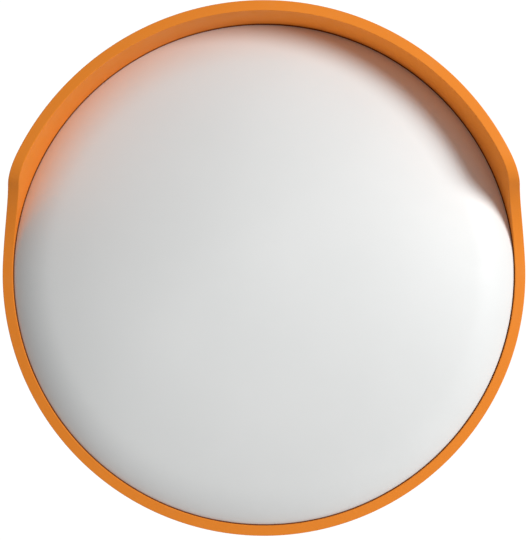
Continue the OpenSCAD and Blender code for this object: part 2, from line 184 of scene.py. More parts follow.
def lathe(name, section, columns, point=turned, closed=False, sharp_deg=SMOOTH_DEG):
    """Sweeps a section of (radius, height) round an axis; a radius of 0 is a single vertex."""
    verts, rows, faces = [], [], []
    for r, z in section:
        count = columns if r > 0 else 1
        rows.append(range(len(verts), len(verts) + count))
        verts += [point(r, 2 * math.pi * j / columns, z) for j in range(count)]
    pairs = list(zip(rows, rows[1:]))
    if closed:
        pairs.append((rows[-1], rows[0]))
    for a, b in pairs:
        for j in range(columns):
            k = (j + 1) % columns
            corners = (a[j % len(a)], a[k % len(a)], b[k % len(b)], b[j % len(b)])
            faces.append(tuple(dict.fromkeys(corners)))
    return add_object(name, verts, faces, sharp_deg)


def arc(cx, cy, r, start, end, steps):
    """Points of an arc in a section, angles in degrees."""
    return [
        (cx + r * math.cos(math.radians(a)), cy + r * math.sin(math.radians(a)))
        for a in np.linspace(start, end, steps)
    ]


def grid_faces(rows, columns):
    """Quads between rows of vertices. Each row closes on itself, and the last row joins the first."""
    faces = []
    for i in range(rows):
        k = (i + 1) % rows
        for j in range(columns):
            m = (j + 1) % columns
            faces.append((i * columns + j, i * columns + m, k * columns + m, k * columns + j))
    return faces


def islands(node):
    """Lowest and highest corner of each separate solid of a CAD node, sorted by X, then Y, then Z."""
    bm = bmesh.new()
    bm.from_mesh(NODES[node].data)
    bmesh.ops.remove_doubles(bm, verts=bm.verts, dist=WELD_DIST)
    found, seen = [], set()
    for start in bm.verts:
        if start in seen:
            continue
        stack, solid = [start], []
        seen.add(start)
        while stack:
            vert = stack.pop()
            solid.append(vert.co.copy())
            for edge in vert.link_edges:
                other = edge.other_vert(vert)
                if other not in seen:
                    seen.add(other)
                    stack.append(other)
        low = Vector([min(co[i] for co in solid) for i in range(3)])
        high = Vector([max(co[i] for co in solid) for i in range(3)])
        found.append((low, high))
    bm.free()
    return sorted(found, key=lambda box: tuple(round(c / MM) for c in box[0]))


def place(obj, body, slot, material, *replaced):
    """Gives a piece its material, its body and the CAD nodes that it stands for."""
    obj.data.materials.clear()
    obj.data.materials.append(material)
    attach(obj, body)
    if replaced:
        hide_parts(*replaced)


# ---------------------------------------------------------------- hood, mirror, gasket

HOOD_SWEEP = math.acos(1 - HOOD_DEPTH / (HOOD_FOOT_R + HOOD_CORNER_R))
HOOD_JOIN_Z = HOOD_FOOT_Z + HOOD_FOOT_R * math.sin(HOOD_SWEEP)
HOOD_TOP_Z = HOOD_JOIN_Z + HOOD_CORNER_R * math.sin(HOOD_SWEEP)


def hood_front(z):
    """How far the hood's front edge stands forward of the rim's face, at height z."""
    if z <= HOOD_FOOT_Z:
        return 0.0
    if z <= HOOD_JOIN_Z:
        return HOOD_FOOT_R - math.sqrt(HOOD_FOOT_R ** 2 - (z - HOOD_FOOT_Z) ** 2)
    if z < HOOD_TOP_Z:
        return HOOD_DEPTH - HOOD_CORNER_R + math.sqrt(HOOD_CORNER_R ** 2 - (HOOD_TOP_Z - z) ** 2)
    return HOOD_DEPTH


def build_hood_rim():
    """Rim with its hood, swept round the head's axis.

    Each point of the section is (radius, share of the hood's depth, offset forward).
    """
    edge = 0.8 * MM
    width = RIM_R - SIGHT_R
    section = [(SIGHT_R + 0.3 * MM, 0, -LIP_DEPTH), (SIGHT_R, 0, -LIP_DEPTH + 0.3 * MM)]
    section += [(SIGHT_R, t, -edge) for t in (0, 0.25, 0.5, 0.75, 1)]
    section += [(SIGHT_R + edge + x, 1, -edge + y) for x, y in arc(0, 0, edge, 180, 90, 5)[1:]]
    section += [(SIGHT_R + width * t, 1, 0) for t in (0.3, 0.5, 0.7)]
    section += [(RIM_R - edge + x, 1, -edge + y) for x, y in arc(0, 0, edge, 90, 0, 5)]
    section += [(RIM_R, t, -edge) for t in (0.75, 0.5, 0.25, 0)]
    section += [(RIM_R, 0, -RIM_DEPTH * t) for t in (0.3, 0.6)]
    section += [(RIM_R - edge + x, 0, edge - RIM_DEPTH + y) for x, y in arc(0, 0, edge, 0, -90, 4)]
    section += [(SEAT_R, 0, -RIM_DEPTH), (SEAT_R, 0, -LIP_DEPTH)]
    columns = 720
    verts = []
    # The inner wall widens towards the hood's front edge, the outer wall doesn't
    for r, share, offset in section:
        for j in range(columns):
            angle = 2 * math.pi * j / columns
            depth = hood_front(r * math.cos(angle)) * share
            draft = HOOD_DRAFT * depth / HOOD_DEPTH if r < SIGHT_R + width / 2 else 0
            verts.append(head_point(r + draft, angle, depth + offset))
    return even_shading(add_object("hood_and_rim", verts, grid_faces(len(section), columns)))


# The mirror's section: a wide arc over the middle, then a tighter arc that rolls over to the edge
ROLL_FROM = math.asin(ROLL_START / MIRROR_CURVE_R)
ROLL_R = (SIGHT_R - ROLL_START) / (math.sin(EDGE_SLOPE) - math.sin(ROLL_FROM))
ROLL_X = ROLL_START - ROLL_R * math.sin(ROLL_FROM)
ROLL_Z = -LIP_DEPTH - BEAD_T - math.sqrt(ROLL_R ** 2 - (BEAD_R - ROLL_X) ** 2)
CENTRE_Z = ROLL_Z - (MIRROR_CURVE_R - ROLL_R) * math.cos(ROLL_FROM)


def mirror_z(r, depth=0):
    """Height of the mirror's front face at radius r, or of the layer at a depth below it."""
    if r < ROLL_START:
        return CENTRE_Z + math.sqrt((MIRROR_CURVE_R - depth) ** 2 - r ** 2)
    return ROLL_Z + math.sqrt((ROLL_R - depth) ** 2 - (r - ROLL_X) ** 2)


def build_mirror():
    """Dish of even thickness, whose last rows lie under the gasket."""
    front = [(r, mirror_z(r)) for r in np.linspace(0, MIRROR_R, 64)]
    back = [(r, mirror_z(r, MIRROR_T)) for r in np.linspace(MIRROR_R, 0, 24)]
    return lathe("mirror_face", front + back, 360, head_point)


def build_gasket():
    """Channel round the mirror's edge, with a rounded nose over the mirror's face."""
    nose = 0.3 * MM
    front = -LIP_DEPTH
    section = [(BEAD_R + nose, front), (BEAD_R + nose / 4, front - nose / 4), (BEAD_R, front - nose)]
    section += [(r, mirror_z(r)) for r in np.linspace(BEAD_R, MIRROR_R, 4)[1:]]
    section += [(r, mirror_z(r, MIRROR_T)) for r in np.linspace(MIRROR_R, BEAD_R, 4)]
    section += [(BEAD_R, SEAT_Z), (GASKET_R, SEAT_Z), (GASKET_R, front)]
    return lathe("mirror_gasket", section, 360, head_point, closed=True)


# ---------------------------------------------------------------- back shell

DOME_Z = FLANGE_Z + math.sqrt(DOME_R ** 2 - SIGHT_R ** 2)

# Half of a rib's section: distance from its middle in mm, and share of its full height
RIB_HALF = [(0, 1), (1.1, 1), (1.7, 0.97), (2.05, 0.86), (2.3, 0.5), (2.7, 0.2), (3.4, 0.05), (4.6, 0)]
RIB_FLANK = 7 * MM  # where the columns beside a rib end
RIB_RISE, RIB_FALL = 2 * MM, 4.5 * MM  # lengths over which a rib grows at its start and fades at its end


def dome_z(r, height=0):
    """Height of the shell's dome at radius r, or of a surface outside it by a height."""
    return DOME_Z - math.sqrt((DOME_R + height) ** 2 - r ** 2)


def rib_share(distance):
    """Share of a rib's full height at a distance from its middle."""
    distances, shares = zip(*RIB_HALF)
    return float(np.interp(abs(distance) / MM, distances, shares))


def shell_columns(r):
    """Angles of the shell's columns at radius r, at fixed distances from each rib's middle."""
    half = [d * MM for d, _ in RIB_HALF[1:]] + [RIB_FLANK]
    offsets = [-d for d in reversed(half)] + [0] + half
    sector = 2 * math.pi / RIB_COUNT
    flank = min(math.asin(min(1, RIB_FLANK / r)), 0.4 * sector) if r else 0.4 * sector
    beside = [(flank * d / RIB_FLANK, abs(d)) for d in offsets]
    between = [(a, RIB_FLANK) for a in np.linspace(flank, sector - flank, 12)[1:-1]]
    return [(i * sector + a, d) for i in range(RIB_COUNT) for a, d in beside + between]


def shell_outside():
    """Radius and height of the shell's outer face without its ribs, from its middle outwards.

    Rows lie close together where the ribs start and end, and at the corners.
    """
    fillet = 1.5 * MM
    corner = 1 * MM
    edge = 0.8 * MM
    foot = BOSS_R + 1.3 * MM
    rows = [(r * MM, BOSS_Z) for r in (35, 70, 90, 96, 97, 98.2, 99.5, 102)]
    rows += arc(BOSS_R - corner, BOSS_Z + corner, corner, -90, 0, 5)
    rows += arc(foot + 0.2 * MM, dome_z(foot) - fillet, fillet, 180, 90, 5)
    rows += [(r * MM, dome_z(r * MM)) for r in (115, 130, 150, 170, 185)]
    ring = [-d for d, _ in reversed(RIB_HALF)] + [d for d, _ in RIB_HALF[1:]]
    rows += [(RING_RIB_R + d * MM, dome_z(RING_RIB_R + d * MM)) for d in ring]
    rows += [(r * MM, dome_z(r * MM)) for r in (215, 235, 255, 272, 284, 289)]
    rows += [(r * MM, dome_z(r * MM)) for r in (291, 292.5, 294, 295.5, 297)]
    rows += [(r * MM, FLANGE_Z) for r in (300.5, 302, 308)]
    rows += arc(RIM_R - edge, FLANGE_Z + edge, edge, -90, 0, 4)
    return rows


def build_back_shell():
    """Ribbed dome with a flat boss and a flange, and with holes for screws, bolts and water."""
    outside = shell_outside()
    inside = [(RIM_R, -RIM_DEPTH), (GASKET_R, -RIM_DEPTH), (GASKET_R, SEAT_Z), (COLLAR_R, SEAT_Z)]
    inside += [(r, dome_z(r, -SHELL_T)) for r in np.linspace(COLLAR_R, BOSS_R, 8)]
    inside += [(r, BOSS_Z + BOSS_T) for r in (BOSS_R - 2 * MM, BOSS_R / 2)]
    verts = [head_point(0, 0, BOSS_Z)]
    for row, (r, z) in enumerate(outside + inside):
        rib_z = dome_z(r, RIB_H)
        start = min(1, max(0, (r - RIB_START) / RIB_RISE))
        end = min(1, max(0, (RIB_END - r) / RIB_FALL))
        along = start * end * end * (3 - 2 * end)
        ring = rib_share(r - RING_RIB_R)
        for angle, distance in shell_columns(r):
            height = 0
            if row < len(outside):
                share = 1 - (1 - rib_share(distance) * along) * (1 - ring)
                height = share * min(0, rib_z - z)
            verts.append(head_point(r, angle, z + height))
    verts.append(head_point(0, 0, BOSS_Z + BOSS_T))
    columns = len(shell_columns(1))
    rows = len(outside) + len(inside)
    open_grid = grid_faces(rows, columns)[:(rows - 1) * columns]
    faces = [tuple(1 + v for v in face) for face in open_grid]
    last = 1 + (rows - 1) * columns
    for j in range(columns):
        k = (j + 1) % columns
        faces.append((0, 1 + k, 1 + j))
        faces.append((len(verts) - 1, last + j, last + k))
    shell = add_object("rear_shell", verts, faces, 50)
    screw_hole_r, bolt_hole_r = 2.2 * MM, 4.2 * MM
    holes = [((low + high) / 2, screw_hole_r) for low, high in islands("rim_screws")]
    holes += [((low + high) / 2, bolt_hole_r) for low, high in islands("plate_bolts")]
    for side in (-1, 1):
        drain = head_point(DRAIN_PITCH_R, math.pi + side * DRAIN_ANGLE, dome_z(DRAIN_PITCH_R))
        holes.append((Vector(drain), DRAIN_R))
    cutters = []
    reach = 12 * MM
    for centre, r in holes:
        cutter = lathe("hole", [(0, -reach), (r, -reach), (r, reach), (0, reach)], 40)
        cutter.matrix_world = Matrix.Translation(centre) @ Matrix.Rotation(math.radians(90), 4, "X")
        cutters.append(cutter)
    bpy.context.view_layer.update()
    return even_shading(cut(shell, cutters))


# ---------------------------------------------------------------- fasteners

def hex_radius(flats, angle):
    """Distance from the axis to the side of a hexagon."""
    sixth = math.pi / 3
    return flats / 2 / math.cos((angle % sixth) - sixth / 2)


def hexagon(flats, height, hole_r=0, low_chamfer=True, washer_face=0):
    """Hexagon from z = 0 up, with its corners turned down at the top, and at the bottom if wanted."""
    columns = 96
    slope = math.tan(math.radians(30))
    top_r = 0.985 * flats / 2  # where the turned corners meet the top
    hole_edge = 0.5 * MM
    turn = (flats / math.sqrt(3) - flats / 2) * slope
    levels = [height - turn * t for t in (1.15, 0.85, 0.55, 0.3, 0.1, 0)]
    if low_chamfer:
        levels = [washer_face + turn * t for t in (0, 0.1, 0.3, 0.55, 0.85, 1.15)] + levels
    else:
        levels = [washer_face] + levels
    rows = []
    for z in levels:
        limit = top_r + (height - z) / slope
        if low_chamfer:
            limit = min(limit, top_r + (z - washer_face) / slope)
        angles = [2 * math.pi * j / columns for j in range(columns)]
        rows.append([(min(limit, hex_radius(flats, a)), z) for a in angles])
    face_r = 0.94 * flats / 2
    rows.append([(face_r, height)] * columns)
    if hole_r:
        rows.append([(hole_r + hole_edge, height)] * columns)
        rows.append([(hole_r, height - hole_edge)] * columns)
        rows.append([(hole_r, hole_edge)] * columns)
        rows.append([(hole_r + hole_edge, 0)] * columns)
    else:
        rows.append([(0.4 * face_r, height)] * columns)
        rows.append([(0.1 * face_r, height)] * columns)
        rows.append([(0.1 * face_r, 0)] * columns)
    rows.append([(face_r, 0)] * columns)
    rows.append([(face_r, washer_face)] * columns)
    verts = [turned(r, 2 * math.pi * j / columns, z) for row in rows for j, (r, z) in enumerate(row)]
    faces = grid_faces(len(rows), columns)
    if not hole_r:
        # Closes the small hole on the axis at both ends
        k = len(rows)
        top = (k - 4) * columns
        faces = [f for f in faces if not (f[0] // columns == k - 4)]
        low = (k - 3) * columns
        faces.append(tuple(range(top, top + columns)))
        faces.append(tuple(reversed(range(low, low + columns))))
    return add_object("hexagon", verts, faces, 25)


def shank(d, length, threaded):
    """Rod from z = 0 up, whose last part has a helical thread and a chamfered tip."""
    r, pitch = d * MM / 2, PITCH[d]
    columns, steps = 36, 8
    start = length - threaded
    depth = 0.55 * pitch
    tip_length, tip_slope = 1.2 * MM, 0.9
    levels = [0, start - pitch] + list(np.arange(start, length, pitch / steps)) + [length]
    verts = []
    for z in levels:
        for j in range(columns):
            turn = (z / pitch - j / columns) % 1
            groove = depth * (1 - abs(2 * turn - 1)) * min(1, max(0, (z - start) / pitch))
            tip = max(0, tip_length - (length - z)) * tip_slope
            verts.append(turned(r - max(groove, tip), 2 * math.pi * j / columns, z))
    rows = len(levels)
    faces = grid_faces(rows, columns)[:(rows - 1) * columns]
    faces.append(tuple(reversed(range(columns))))
    faces.append(tuple(range((rows - 1) * columns, rows * columns)))
    return add_object("shank", verts, faces, 25)


def hex_bolt(d, head_h, length, threaded):
    """Bolt whose head stands below z = 0 and whose shank points up."""
    head = hexagon(FLATS[d], head_h, low_chamfer=False, washer_face=0.4 * MM)
    head.matrix_world = Matrix.Rotation(math.pi, 4, "X")
    return [head, shank(d, length, threaded)]


def ring_section(outer_r, inner_r, height, edge):
    """Section of a flat ring from z = 0 up, with its four corners rounded."""
    corners = [(inner_r, 0), (outer_r, 0), (outer_r, height), (inner_r, height)]
    section = []
    for i, (r, z) in enumerate(corners):
        cr = r + edge * (1 if r == inner_r else -1)
        cz = z + edge * (1 if z == 0 else -1)
        section += arc(cr, cz, edge, 180 + 90 * i, 270 + 90 * i, 3)
    return section


def washer(outer_r, inner_r, height):
    """Flat washer from z = 0 up."""
    section = ring_section(outer_r, inner_r, height, 0.25 * MM)
    return lathe("washer", section, 64, closed=True, sharp_deg=60)


def spring_washer(outer_r, inner_r, height):
    """Ring split by a slanted cut, whose ends stand a little apart."""
    section = ring_section(outer_r, inner_r, height, 0.3 * MM)
    columns = 72
    half_gap = 0.6 * MM / outer_r
    cut_slope = 0.6
    verts = []
    for j in range(columns):
        share = j / (columns - 1)
        for r, z in section:
            slant = (z - height / 2) / outer_r * cut_slope
            angle = half_gap + slant + share * (2 * math.pi - 2 * half_gap)
            verts.append(turned(r, angle, z))
    around = len(section)
    faces = grid_faces(columns, around)[:(columns - 1) * around]
    faces.append(tuple(range(around)))
    faces.append(tuple(reversed(range((columns - 1) * around, columns * around))))
    return add_object("spring_washer", verts, faces, 50)


def pan_screw(length):
    """Screw from z = 0 up, with a domed head and a cross recess at its top."""
    head_r, head_h, shank_r = 4 * MM, 2.7 * MM, 2 * MM
    brim_h = 0.9 * MM  # the head's side, below its dome
    base = length - head_h
    section = [(0, 0), (0.7 * shank_r, 0), (shank_r, 1 * MM), (shank_r, base), (head_r - 0.2 * MM, base)]
    section += [(head_r, base + 0.25 * MM), (head_r, base + brim_h)]
    section += [
        (head_r * math.cos(a), base + brim_h + (head_h - brim_h) * math.sin(a))
        for a in np.linspace(0.25, math.pi / 2, 7)[:-1]
    ]
    section.append((0, length))
    screw = lathe("screw", section, 48, sharp_deg=30)
    cutters = []
    for turn in (0, math.pi / 2):
        bar = bmesh.new()
        bmesh.ops.create_cube(bar, size=1)
        for vert in bar.verts:
            top = vert.co.z > 0
            vert.co.x *= (4.6 if top else 1.6) * MM
            vert.co.y *= (1.0 if top else 0.7) * MM
            vert.co.z = length + (1 * MM if top else -2.2 * MM)
        mesh = bpy.data.meshes.new("bar")
        bar.to_mesh(mesh)
        bar.free()
        cutter = link_mesh("bar", mesh, 30)
        cutter.matrix_world = Matrix.Rotation(turn, 4, "Z")
        cutters.append(cutter)
    bpy.context.view_layer.update()
    for cutter in cutters:
        cut(screw, [cutter])
    return [screw]


AXES = {
    "x": Matrix.Rotation(math.pi / 2, 4, "Y"),
    "y": Matrix.Rotation(-math.pi / 2, 4, "X"),
    "z": Matrix.Identity(4),
}


def put_at(node, axis, make, flip=False, turn=True):
    """Builds one item for each solid of a CAD node, along an axis, with z = 0 at the solid's low end.

    flip puts it at the high end, pointing back. turn gives each item a turn of its own about the
    axis. make gets the solid's length along the axis, and returns the objects of one item.
    """
    index = "xyz".index(axis)
    made = []
    for i, (low, high) in enumerate(islands(node)):
        centre = (low + high) / 2
        centre[index] = high[index] if flip else low[index]
        matrix = Matrix.Translation(centre) @ AXES[axis]
        if flip:
            matrix = matrix @ Matrix.Rotation(math.pi, 4, "X")
        if turn:
            matrix = matrix @ Matrix.Rotation(0.7 * i + 0.3, 4, "Z")
        for obj in make(high[index] - low[index]):
            obj.matrix_world = matrix @ obj.matrix_world
            made.append(obj)
    bpy.context.view_layer.update()
    return join(node + "_set", made)


def bolts(node, axis, d, threaded, flip=False):
    """Hexagon bolts of thread diameter d in mm, threaded over a length from their tips."""
    head_h = HEAD_H[d]

    def make(length):
        parts = hex_bolt(d, head_h, length - head_h, threaded)
        for part in parts:
            part.matrix_world = Matrix.Translation((0, 0, head_h)) @ part.matrix_world
        return parts

    return put_at(node, axis, make, flip)


def nuts(node, axis, d):
    """Hexagon nuts for bolts of diameter d in mm."""
    bore = d * MM / 2 + 0.05 * MM
    return put_at(node, axis, lambda h: [hexagon(FLATS[d], h, bore)])


def washers(node, axis, d):
    """Flat washers for bolts of diameter d in mm, twice as wide as the bolt."""
    inner_r = (d * MM + HOLE_PLAY) / 2
    return put_at(node, axis, lambda h: [washer(d * MM, inner_r, h)], turn=False)


def spring_washers(node, axis, d):
    """Spring washers for bolts of diameter d in mm, as wide as the CAD node's solids."""
    low, high = islands(node)[0]
    index = "xyz".index(axis)
    width = max(high[i] - low[i] for i in range(3) if i != index)
    inner_r = (d * MM + HOLE_PLAY) / 2
    return put_at(node, axis, lambda h: [spring_washer(width / 2, inner_r, h)])


# ---------------------------------------------------------------- steel parts

def soften(node, name, edge, sharp_deg=40):
    """Copy of a CAD node with its flat faces made whole and its edges rounded."""
    mesh = NODES[node].data.copy()
    bm = bmesh.new()
    bm.from_mesh(mesh)
    bmesh.ops.remove_doubles(bm, verts=bm.verts, dist=WELD_DIST)
    bmesh.ops.dissolve_limit(bm, angle_limit=math.radians(0.5), verts=bm.verts, edges=bm.edges)
    bm.to_mesh(mesh)
    bm.free()
    obj = link_mesh(name, mesh, sharp_deg)
    bevel = obj.modifiers.new("edges", "BEVEL")
    bevel.width = edge
    bevel.segments = 3
    bevel.limit_method = "ANGLE"
    bevel.angle_limit = math.radians(30)
    apply_modifiers(obj)
    obj.data.shade_smooth()
    obj.data.set_sharp_from_angle(angle=math.radians(sharp_deg))
    return even_shading(obj)


def build_knuckle():
    """Casting: every inner and outer corner is rounded, and a parting line runs round its middle."""
    mesh = NODES["knuckle"].data.copy()
    obj = link_mesh("knuckle_casting", mesh, 40)
    remesh = obj.modifiers.new("skin", "REMESH")
    remesh.mode = "VOXEL"
    remesh.voxel_size = 0.7 * MM
    smooth = obj.modifiers.new("corners", "SMOOTH")
    smooth.factor = 0.5
    smooth.iterations = 6
    apply_modifiers(obj)
    places = np.array([vert.co for vert in obj.data.vertices])
    normals = np.array([vert.normal for vert in obj.data.vertices])
    ridge_h, ridge_w = 0.35 * MM, 0.7 * MM
    ridge = ridge_h * np.exp(-(places[:, :1] / ridge_w) ** 2)
    obj.data.vertices.foreach_set("co", (places + ridge * normals).ravel())
    obj.data.shade_smooth()
    return obj


def weld_bead(name, path, r, outwards, closed=False):
    """Bead along a path: a round section that swells at each ripple, bowed where it faces outwards."""
    points = [Vector(p) for p in path]
    step = 0.35 * MM
    ripple_length, drift_length, end_length = 1.9 * MM, 5.3 * MM, 3 * MM
    dense, travelled = [], [0.0]
    pairs = list(zip(points, points[1:] + points[:1])) if closed else list(zip(points, points[1:]))
    for a, b in pairs:
        count = max(1, round((b - a).length / step))
        dense += [a.lerp(b, i / count) for i in range(count)]
    if not closed:
        dense.append(points[-1])
    for a, b in zip(dense, dense[1:]):
        travelled.append(travelled[-1] + (b - a).length)
    around = 14
    slanted = Vector((0.31, 0.52, 0.79))  # parallel to no part of any path
    verts = []
    for i, centre in enumerate(dense):
        before = dense[i - 1] if i or closed else centre
        after = dense[(i + 1) % len(dense)] if i + 1 < len(dense) or closed else centre
        along = (after - before).normalized()
        side = along.cross(slanted).normalized()
        up = along.cross(side)
        left = travelled[-1] - travelled[i]
        taper = 1 if closed else min(1, 0.35 + min(travelled[i], left) / end_length)
        drift = 0.04 * math.sin(travelled[i] / drift_length)
        for j in range(around):
            a = 2 * math.pi * j / around
            outward = math.cos(a) * side + math.sin(a) * up
            bow = 0.5 * max(0, outward.dot(outwards)) ** 2
            # 0 where a ripple starts, thin, and 1 where it ends, thick
            ripple = (travelled[i] / ripple_length + bow) % 1
            swell = r * taper * (0.95 + 0.07 * math.sqrt(ripple) + drift)
            verts.append(centre + swell * outward)
    rows = len(dense)
    faces = grid_faces(rows, around)
    if not closed:
        faces = faces[:(rows - 1) * around]
        faces.append(tuple(reversed(range(around))))
        faces.append(tuple(range((rows - 1) * around, rows * around)))
    return add_object(name, verts, faces, 60)


def build_ear_welds():
    """Four beads where the bracket's ears stand on its base plate."""
    plate_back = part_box("plate_washers")[0].y
    ear_in, ear_out = 25.2 * MM, 31.2 * MM
    low, high = -52 * MM, 30 * MM
    beads = []
    for side in (-1, 1):
        for x, r, away in ((ear_in, 2.4 * MM, -side), (ear_out, 3.3 * MM, side)):
            ends = [(side * x, plate_back, low), (side * x, plate_back, high)]
            beads.append(weld_bead("bead", ends, r, Vector((away, 1, 0)).normalized()))
    return join("ear_welds", beads)


def build_fork_weld():
    """Bead round the root of the fork, where it meets the clamp's band."""
    band_r, half_w, half_h = 43 * MM, 18 * MM, 24.1 * MM
    end = math.asin(half_w / band_r)
    steps = 24
    top = [
        (band_r * math.sin(a), -band_r * math.cos(a), half_h) for a in np.linspace(-end, end, steps)
    ]
    low = [(x, y, -z) for x, y, z in reversed(top)]
    return weld_bead("fork_weld", top + low, 2.8 * MM, Vector((0, -1, 0)), closed=True)


# ---------------------------------------------------------------- materials

class Nodes:
    """Short way to write a material's node tree, whose patterns lie in the object's own space."""

    def __init__(self, name, **sockets):
        self.material = bpy.data.materials.new(name)
        self.material.use_nodes = True
        self.tree = self.material.node_tree
        self.shader = self.tree.nodes["Principled BSDF"]
        for key, value in sockets.items():
            self.shader.inputs[key.replace("_", " ")].default_value = value
        self.space = self.tree.nodes.new("ShaderNodeTexCoord").outputs["Object"]

    def add(self, kind, settings=(), **inputs):
        """New node, with its settings, and with its inputs linked or set."""
        node = self.tree.nodes.new("ShaderNode" + kind)
        for key, value in dict(settings).items():
            setattr(node, key, value)
        for key, value in inputs.items():
            self.put(node.inputs[key.replace("_", " ")], value)
        return node

    def put(self, socket, value):
        """Links a node's output to the socket, or sets the socket to a plain value."""
        if isinstance(value, bpy.types.NodeSocket):
            self.tree.links.new(value, socket)
        else:
            socket.default_value = value

    def stretched(self, *scale):
        """The object's own space, scaled along X, Y and Z."""
        return self.add("Mapping", Vector=self.space, Scale=scale).outputs[0]

    def noise(self, scale, detail=4, roughness=0.5, vector=None):
        node = self.add("TexNoise", Vector=vector or self.space)
        node.inputs["Scale"].default_value = scale
        node.inputs["Detail"].default_value = detail
        node.inputs["Roughness"].default_value = roughness
        return node.outputs["Fac"]

    def voronoi(self, scale, output="Distance", vector=None, **settings):
        node = self.add("TexVoronoi", settings, Vector=vector or self.space)
        node.inputs["Scale"].default_value = scale
        return node.outputs[output]

    def span(self, value, low, high, to_low=0.0, to_high=1.0):
        """Maps a value from one range to another, and stops at its ends."""
        node = self.add("MapRange", {"clamp": True}, Value=value)
        ends = {"From Min": low, "From Max": high, "To Min": to_low, "To Max": to_high}
        for key, number in ends.items():
            node.inputs[key].default_value = number
        return node.outputs[0]

    def math(self, operation, a, b=0.0):
        node = self.add("Math", {"operation": operation})
        self.put(node.inputs[0], a)
        self.put(node.inputs[1], b)
        return node.outputs[0]

    def mix(self, share, a, b, blend="MIX"):
        """Blends two colours, each a node's output or three numbers."""
        node = self.add("Mix", {"data_type": "RGBA", "blend_type": blend})
        self.put(node.inputs[0], share)
        for socket, color in ((node.inputs[6], a), (node.inputs[7], b)):
            self.put(socket, color if isinstance(color, bpy.types.NodeSocket) else (*color, 1))
        return node.outputs[2]

    def color(self, value):
        self.put(self.shader.inputs["Base Color"], value)

    def roughness(self, value):
        self.put(self.shader.inputs["Roughness"], value)

    def bump(self, *layers):
        """Adds bumps from (height, strength, depth in metres), one on another."""
        normal = None
        for height, strength, depth in layers:
            node = self.add("Bump", Height=height)
            node.inputs["Strength"].default_value = strength
            node.inputs["Distance"].default_value = depth
            if normal:
                self.put(node.inputs["Normal"], normal)
            normal = node.outputs[0]
        self.put(self.shader.inputs["Normal"], normal)


def orange_moulding():
    """Satin plastic: slow colour drift, a fine moulded texture, hairline scratches and faint dust."""
    n = Nodes("orange_moulding", IOR=1.46, Specular_IOR_Level=0.1)
    drift = n.noise(5, 3)
    base = n.mix(n.span(drift, 0.3, 0.7), (0.860, 0.254, 0.0280), (0.895, 0.270, 0.0305))
    speckle = n.span(n.noise(900, 2), 0.35, 0.65)
    base = n.mix(n.math("MULTIPLY", speckle, 0.05), base, (0.74, 0.205, 0.017))
    hairline = n.noise(260, 3, 0.6, n.stretched(1, 1, 0.06))
    scratches = n.span(hairline, 0.70, 0.76)
    base = n.mix(n.math("MULTIPLY", scratches, 0.10), base, (0.86, 0.42, 0.12))
    dust = n.math("MULTIPLY", n.span(n.noise(38, 6, 0.7), 0.52, 0.78), 0.05)
    n.color(n.mix(dust, base, (0.72, 0.50, 0.30)))
    rough = n.span(n.noise(22, 5, 0.6), 0.3, 0.7, 0.44, 0.56)
    n.roughness(n.math("ADD", rough, n.math("MULTIPLY", scratches, 0.12)))
    n.bump(
        (n.noise(1500, 2), 0.25, 0.05 * MM),
        (n.noise(60, 2), 0.12, 0.2 * MM),
        (scratches, 0.15, 0.02 * MM),
    )
    return n.material


def mirror_face():
    """Hazy silvered acrylic: soft sheen, faint wipe marks, dried drops and specks of dust."""
    n = Nodes("mirror_face", Metallic=0.05, IOR=1.49, Specular_IOR_Level=0.2)
    cloud = n.span(n.noise(7, 3), 0.3, 0.7)
    base = n.mix(cloud, (0.796, 0.808, 0.803), (0.820, 0.830, 0.825))
    wipe = n.noise(9, 5, 0.6, n.stretched(1, 1, 2.2))
    streaks = n.span(wipe, 0.48, 0.72)
    base = n.mix(n.math("MULTIPLY", streaks, 0.04), base, (0.70, 0.71, 0.72))
    speck = n.span(n.voronoi(210), 0.0, 0.10, 1.0, 0.0)
    thin_out = n.span(n.noise(30, 2), 0.56, 0.62)
    specks = n.math("MULTIPLY", speck, thin_out)
    n.color(n.mix(n.math("MULTIPLY", specks, 0.10), base, (0.55, 0.54, 0.52)))
    rough = n.span(n.noise(9, 5, 0.6), 0.3, 0.7, 0.46, 0.52)
    rough = n.math("ADD", rough, n.math("MULTIPLY", streaks, 0.04))
    n.roughness(n.math("ADD", rough, n.math("MULTIPLY", specks, 0.2)))
    n.bump((n.noise(26, 2), 0.04, 0.2 * MM))
    return n.material


def gasket_rubber():
    """Matt rubber, a little uneven, whose dark brown-orange is painted shade: the colour of the shadowed
    gap between rim and mirror.
    """
    n = Nodes("gasket_rubber", Specular_IOR_Level=0.1)
    # Painted shade: this dark brown-orange stands in for the shadowed gap between the rim's lip and the
    # mirror
    n.color(n.mix(n.span(n.noise(120, 4), 0.35, 0.7), (0.150, 0.040, 0.010), (0.190, 0.056, 0.015)))
    n.roughness(n.span(n.noise(300, 3), 0.3, 0.7, 0.75, 0.9))
    n.bump((n.noise(700, 3), 0.3, 0.05 * MM))
    return n.material


def galvanised_steel():
    """Hot-dip zinc: crystal spangle, dull patches and small runs of white bloom."""
    n = Nodes("galvanised_steel", Metallic=0.85)
    swirl = n.add("TexNoise", Vector=n.space, Scale=70.0).outputs["Color"]
    warp = n.mix(0.012, n.space, swirl, "ADD")
    crystal = n.add("SeparateColor", Color=n.voronoi(95, "Color", warp)).outputs[0]
    grain = n.add("SeparateColor", Color=n.voronoi(240, "Color", warp)).outputs[1]
    facet = n.math("ADD", n.math("MULTIPLY", crystal, 0.7), n.math("MULTIPLY", grain, 0.3))
    zinc = n.mix(facet, (0.40, 0.42, 0.44), (0.62, 0.64, 0.66))
    bloom = n.span(n.noise(24, 6, 0.65), 0.55, 0.72, 0.0, 0.55)
    n.color(n.mix(bloom, zinc, (0.60, 0.61, 0.60)))
    n.roughness(n.math("ADD", n.span(facet, 0, 1, 0.34, 0.52), n.math("MULTIPLY", bloom, 0.25)))
    n.bump((facet, 0.06, 0.1 * MM), (n.noise(90, 4), 0.25, 0.12 * MM))
    return n.material


